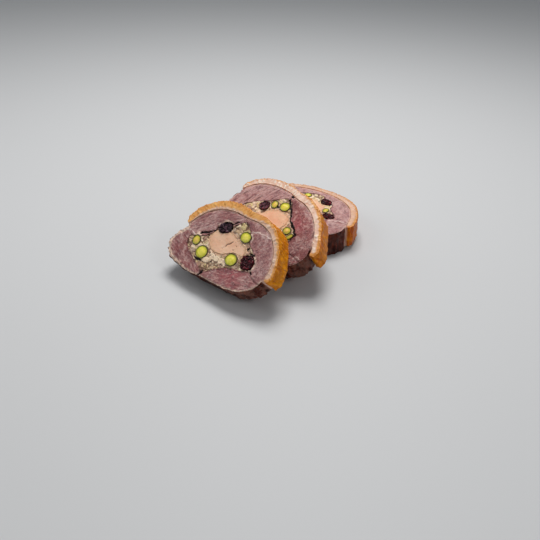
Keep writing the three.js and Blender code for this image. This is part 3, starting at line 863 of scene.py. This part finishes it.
# %% Foie gras: material
def foie_material():
    """Even and waxy, with faint veins and a few flecks."""
    finish = Finish(
        "foie gras",
        Coat_Weight=0.15,
        Coat_Roughness=0.3,
        Specular_IOR_Level=0.3,
        Subsurface_Weight=0.15,
        Subsurface_Radius=(1, 0.5, 0.3),
        Subsurface_Scale=3 * MM,
    )
    soft = finish.noise(finish.place, 0.14, 3)
    vein = finish.noise(finish.place, 0.5, 5, 0.7)
    fleck = finish.grains(finish.place, 0.34).between(0.11, 0.05)
    tint = finish.mix(soft.between(0.35, 0.65), colour(234, 180, 144), colour(242, 196, 162))
    tint = finish.mix(vein.between(0.58, 0.72) * 0.5, tint, colour(204, 140, 110))
    tint = finish.mix(vein.between(0.42, 0.3) * 0.4, tint, colour(252, 220, 194))
    tint = finish.mix(fleck * 0.7, tint, colour(110, 70, 54))
    wobble = (finish.noise(finish.place, 2.2, 3) - 0.5) * 1.4
    spill = (finish.noise(finish.place, 0.5, 4) - 0.52) * 8
    smeared = (finish.value("border") - spill).between(0.9, 0.3)
    tint = finish.mix(smeared * 0.6, tint, colour(206, 164, 124))
    # Cracks darkened with painted shade.
    crack = (finish.value("crack") + wobble * 0.35).between(0.3, 0.08)
    base = finish.mix(crack * 0.85, tint, colour(84, 46, 36))
    return finish.set(base, 0.45, vein, 0.15, 0.5)


# %% Foie gras: make the three blocks
FOIE = foie_material()
for name in SLICES:
    foie_skin(name).done(FOIE, "foie_gras")

# %% [markdown]
# ## Pistachios and berries
#
# A cut pistachio is bright yellow green with a darker skin, and a faint line where its two halves meet. A
# dried berry is nearly black, wrinkled and a little sticky, with red where it is cut. Each stays a piece of
# its own.

# %% Pistachios: shape
NUT_VOXEL = 0.22
NUT_SWELL = 0.1
NUT_WALL_FACING = 0.4
# Shifts each nut's pattern, so that no two are alike.
NUT_APART = 11.0


def nut_skin(node, slice_name, seed):
    """One cut pistachio."""
    skin = Skin("cut_" + node, slice_name, [node], NUT_VOXEL, NUT_SWELL)
    edge = skin.from_wall(skin.facing < NUT_WALL_FACING)
    skin.rounded()
    centred = skin.local - (skin.local.max(axis=0) + skin.local.min(axis=0)) / 2
    angle = random_at(np.array([[seed, 5, 9]]), 3)[0] * math.pi
    beside = centred[:, 0] * math.cos(angle) + centred[:, 1] * math.sin(angle)
    split = np.abs(beside + 0.5 * noise(centred, 2.5, seed))
    dome = smoothstep(0, 3, edge)
    height = 0.5 * dome - 0.45 + 0.07 * noise(centred, 1.2, seed + 1)
    height = height - 0.08 * (1 - smoothstep(0.05, 0.3, split))
    skin.push(height * skin.cut)
    skin.note(place=skin.local + seed * NUT_APART, edge=edge, split=split, cut=skin.cut)
    return skin


# %% Pistachios: material
def nut_material(name, heart, green):
    """A cut nut from its heart to its green, with a darker skin round it."""
    finish = Finish(
        name,
        Coat_Weight=0.25,
        Coat_Roughness=0.2,
        Specular_IOR_Level=0.25,
        Subsurface_Weight=0.1,
        Subsurface_Radius=(0.8, 0.8, 0.3),
        Subsurface_Scale=2 * MM,
    )
    blur = finish.noise(finish.place, 0.9, 3)
    cloud = finish.noise(finish.place, 0.35, 2)
    rim = finish.value("edge") + blur * 0.8
    tint = finish.mix(cloud.between(0.35, 0.65), heart, green)
    tint = finish.mix(blur.between(0.55, 0.7) * 0.4, tint, colour(250, 240, 150))
    split = (finish.value("split") + blur * 0.3).between(0.35, 0.12) * cloud.between(0.4, 0.6)
    tint = finish.mix(split * 0.5, tint, green)
    tint = finish.mix(rim.between(2.4, 1.0) * 0.7, tint, colour(176, 178, 30))
    tint = finish.mix(rim.between(1.3, 0.5) * 0.85, tint, colour(104, 112, 14))
    base = finish.mix(finish.value("cut"), colour(84, 70, 30), tint)
    return finish.set(base, 0.4, blur, 0.12, 0.4)


# %% Pistachios: make them
GREEN_NUT = nut_material("pistachio", colour(246, 230, 92), colour(226, 216, 62))
YELLOW_NUT = nut_material("pale pistachio", colour(244, 200, 90), colour(232, 200, 84))
PALE_NUTS = (
    "front_pistachio_4",
    "middle_pistachio_2",
    "middle_pistachio_3",
    "middle_pistachio_4",
    "back_pistachio_2",
)
nuts = sorted(node for node in nodes if "pistachio" in node)
for seed, node in enumerate(nuts):
    finish = YELLOW_NUT if node in PALE_NUTS else GREEN_NUT
    nut_skin(node, node.split("_")[0], seed).done(finish, "pistachio")

# %% Berries: shape
REDNESS = {"front_berry_1": 0.05, "front_berry_2": 0.7, "middle_berry_1": 0.55}
USUAL_REDNESS = 0.8
# How much painted sheen each berry gets: greyish-pink patches that stand in for its shine.
PAINTED_SHEEN = {"front_berry_1": 0.12, "middle_berry_1": 1.0}
USUAL_PAINTED_SHEEN = 0.05
BERRY_APART = 13.0


def berry_skin(node, slice_name, seed):
    """One wrinkled dried berry, cut through."""
    skin = Skin("cut_" + node, slice_name, [node], NUT_VOXEL, NUT_SWELL)
    red = REDNESS.get(node, USUAL_REDNESS)
    folds = 1 - smoothstep(0.0, 0.45, np.abs(noise(skin.local, (3.2, 2.0, 2.5), 60 + seed)))
    bent = skin.local + 0.5 * skin.shaken(1.5, 65 + seed)
    seeds_near, seeds_far, _ = cells(bent, 2.0, 70 + seed)
    walls = 1 - smoothstep(0.05, 0.4, seeds_far - seeds_near)
    valley = np.clip(folds * (1 - red) + walls * red + 0.25 * noise(skin.local, 1.0, 75), 0, 1)
    skin.push((0.35 - 1.0 * valley) * (0.3 + 0.7 * skin.cut) - 0.15)
    bloom = PAINTED_SHEEN.get(node, USUAL_PAINTED_SHEEN)
    skin.note(place=skin.local + seed * BERRY_APART, valley=valley)
    skin.note(red=np.full(len(valley), red), bloom=np.full(len(valley), bloom))
    return skin


# %% Berries: material
def berry_material():
    """Nearly black skin, red where it is cut, with painted shade in the wrinkles and patches of painted
    sheen.
    """
    finish = Finish("dried berry", Coat_Weight=0.2, Coat_Roughness=0.1, Specular_IOR_Level=0.05)
    patch = finish.noise(finish.place, 0.6, 3)
    flesh = finish.mix(patch.between(0.42, 0.68), colour(62, 6, 14), colour(140, 34, 36))
    black = finish.mix(patch.between(0.45, 0.62), colour(16, 6, 12), colour(92, 64, 78))
    tint = finish.mix(finish.value("red"), black, flesh)
    # Greyish-pink patches: painted sheen.
    tint = finish.mix(finish.value("bloom") * patch.between(0.35, 0.6), tint, colour(138, 88, 100))
    # Wrinkles darkened to near black: painted shade.
    base = finish.mix(finish.value("valley") * 0.9, tint, colour(8, 2, 6))
    return finish.set(base, 0.4, finish.noise(finish.place, 2.0, 3), 0.2, 0.5)


# %% Berries: make them
BERRY = berry_material()
berries = sorted(node for node in nodes if "berry" in node)
for seed, node in enumerate(berries):
    berry_skin(node, node.split("_")[0], seed).done(BERRY, "berry")

# %% [markdown]
# ## Camera, light and floor
#
# The camera stands where it stood for the photograph, worked out from the picture's perspective. The light
# is soft and comes from above and behind, as in the photograph, so the faces that lean back are brightest.

# %% Camera
CAMERA_TURN = -47.205
CAMERA_RISE = 31.773
CAMERA_ROLL = 1.866
CAMERA_DISTANCE = 425.99
LOOK_AT = (-19.41, -11.58, 0.0)
LENS = 45.94

turn = Matrix.Rotation(math.radians(CAMERA_TURN), 4, "Z")
rise = Matrix.Rotation(math.radians(90 - CAMERA_RISE), 4, "X")
roll = Matrix.Rotation(math.radians(CAMERA_ROLL), 4, "Z")
camera = bpy.data.objects.new("Camera", bpy.data.cameras.new("Camera"))
bpy.context.scene.collection.objects.link(camera)
camera.data.lens = LENS
camera.data.clip_start = 0.01
aim = Matrix.Translation(Vector(LOOK_AT) * MM)
back_off = Matrix.Translation((0, 0, CAMERA_DISTANCE * MM))
camera.matrix_world = aim @ turn @ rise @ roll @ back_off
bpy.context.scene.camera = camera
bpy.context.scene.view_settings.view_transform = "Standard"
print("camera at", [round(c / MM) for c in camera.matrix_world.translation])

# %% Light and floor
SKY_COLOUR = (0.9, 0.95, 1.0, 1.0)
SKY_STRENGTH = 0.22
FLOOR_HALF_WIDTH = 6
FLOOR_COLOUR = (0.6, 0.6, 0.6, 1.0)
FLOOR_ROUGHNESS = 0.6


def softbox(name, place, size, watts):
    """A square lamp at a place in metres that shines at the food."""
    lamp = bpy.data.lights.new(name, "AREA")
    lamp.size = size
    lamp.energy = watts
    light = bpy.data.objects.new(name, lamp)
    bpy.context.scene.collection.objects.link(light)
    light.location = place
    light.rotation_euler = (-Vector(place)).to_track_quat("-Z", "Y").to_euler()
    print(name, watts, "watts")


softbox("Overhead light", place=(0.2, 0.14, 0.66), size=0.35, watts=3.9)
softbox("Window light", place=(-0.5, 0.45, 0.5), size=0.5, watts=1.2)
softbox("Side light", place=(-0.1, -0.6, 0.5), size=0.12, watts=0.6)
world = bpy.data.worlds.new("Studio")
bpy.context.scene.world = world
world.use_nodes = True
sky = world.node_tree.nodes["Background"]
sky.inputs["Color"].default_value = SKY_COLOUR
sky.inputs["Strength"].default_value = SKY_STRENGTH

ground = bmesh.new()
bmesh.ops.create_grid(ground, x_segments=1, y_segments=1, size=FLOOR_HALF_WIDTH)
floor_mesh = bpy.data.meshes.new("Floor")
ground.to_mesh(floor_mesh)
ground.free()
floor = bpy.data.objects.new("Floor", floor_mesh)
bpy.context.scene.collection.objects.link(floor)
floor_material = bpy.data.materials.new("pale floor")
floor_material.use_nodes = True
floor_shader = floor_material.node_tree.nodes["Principled BSDF"]
floor_shader.inputs["Base Color"].default_value = FLOOR_COLOUR
floor_shader.inputs["Roughness"].default_value = FLOOR_ROUGHNESS
floor_mesh.materials.append(floor_material)
